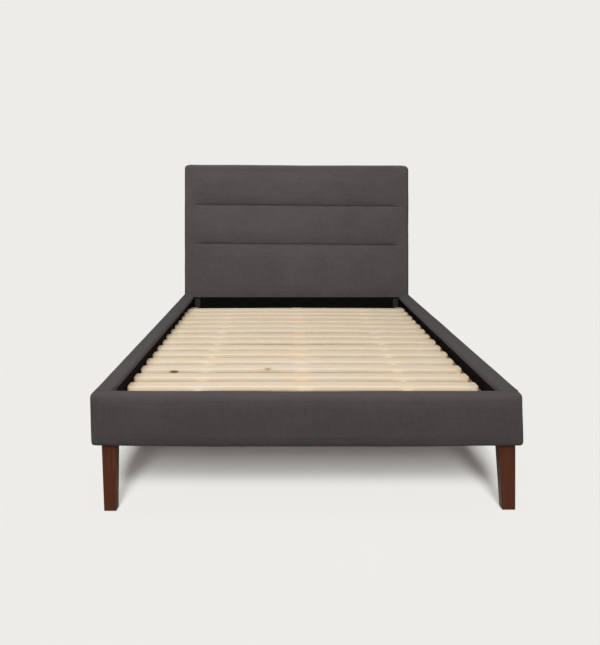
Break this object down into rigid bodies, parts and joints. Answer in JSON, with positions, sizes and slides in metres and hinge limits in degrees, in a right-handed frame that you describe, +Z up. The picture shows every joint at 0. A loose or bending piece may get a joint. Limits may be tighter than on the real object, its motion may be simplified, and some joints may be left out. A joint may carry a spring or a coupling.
{
  "type": "upholstered platform bed frame",
  "caption": "Low twin bed frame with a padded headboard stitched into three horizontal channels, padded side and foot rails, a mat of bowed wooden slats and tapered square legs.",
  "frame": {"origin": "on the floor, under the middle of the bed's outer box", "axes": "+Z up, +Y from the foot to the headboard, +X to the right as seen from the foot"},
  "size_m": [1.085, 2.05, 0.925],
  "materials": {
    "upholstery_cloth": "matt charcoal-grey linen-look weave over foam",
    "black_lining": "matt non-woven cloth",
    "foam": "open-cell foam, hidden",
    "pine_slats": "sawn and sanded pine with small knots",
    "slat_webbing": "woven tape",
    "frame_timber": "planed, unfinished",
    "walnut_legs": "walnut stain, satin lacquer",
    "black_steel": "black powder coat",
    "zinc_steel": "zinc plated",
    "black_plastic": "moulded"
  },
  "bodies": {
    "root": {"headboard_cover": "upholstery_cloth", "foot_rail_cover": "upholstery_cloth", "side_rail_cover_left": "upholstery_cloth", "side_rail_cover_right": "upholstery_cloth", "headboard_back_cloth": "black_lining", "headboard_liner": "black_lining", "foot_rail_liner": "black_lining", "side_rail_liner_left": "black_lining", "side_rail_liner_right": "black_lining", "headboard_foam": "foam", "headboard_frame": "frame_timber", "foot_rail_board": "frame_timber", "side_rail_board_left": "frame_timber", "side_rail_board_right": "frame_timber", "slat_ledge_left": "frame_timber", "slat_ledge_right": "frame_timber", "center_beam": "frame_timber", "center_leg": "frame_timber", "leg_front_left": "walnut_legs", "leg_front_right": "walnut_legs", "leg_rear_left": "walnut_legs", "leg_rear_right": "walnut_legs", "corner_bracket_foot_left": "black_steel", "corner_bracket_foot_right": "black_steel", "corner_bracket_head_left": "black_steel", "corner_bracket_head_right": "black_steel", "beam_cradle_foot": "black_steel", "beam_cradle_head": "black_steel", "corner_bolt_foot_left": "zinc_steel", "corner_bolt_foot_right": "zinc_steel", "corner_bolt_head_left": "zinc_steel", "corner_bolt_head_right": "zinc_steel", "hanger_bolt_front_left": "zinc_steel", "hanger_bolt_front_right": "zinc_steel", "hanger_bolt_rear_left": "zinc_steel", "hanger_bolt_rear_right": "zinc_steel", "glide_front_left": "black_plastic", "glide_front_right": "black_plastic", "glide_rear_left": "black_plastic", "glide_rear_right": "black_plastic"},
    "slat_mat": {"slat_01": "pine_slats", "slat_02": "pine_slats", "slat_03": "pine_slats", "slat_04": "pine_slats", "slat_05": "pine_slats", "slat_06": "pine_slats", "slat_07": "pine_slats", "slat_08": "pine_slats", "slat_09": "pine_slats", "slat_10": "pine_slats", "slat_11": "pine_slats", "slat_12": "pine_slats", "slat_13": "pine_slats", "slat_14": "pine_slats", "slat_15": "pine_slats", "slat_tape_left": "slat_webbing", "slat_tape_right": "slat_webbing"},
    "center_foot_pad": {"center_foot_pad": "black_plastic"},
    "center_foot_stud": {"center_foot_stud": "zinc_steel"}
  },
  "joints": [
    {"name": "slat_mat_slide", "type": "slide", "parent": "root", "child": "slat_mat", "axis": [0, 1, 0], "range_m": [-0.115, 0.13]},
    {"name": "center_foot_travel", "type": "slide", "parent": "root", "child": "center_foot_pad", "axis": [0, 0, -1], "range_m": [0, 0.01002]},
    {"name": "center_foot_turn", "type": "hinge", "parent": "center_foot_pad", "child": "center_foot_stud", "pos_m": [0, 0, 0.04], "axis": [0, 0, -1], "range_deg": [0, 2880]}
  ],
  "couplings": [
    {"joint": "center_foot_travel", "follows": "center_foot_turn", "m_per_rad": 0.00019894}
  ]
}
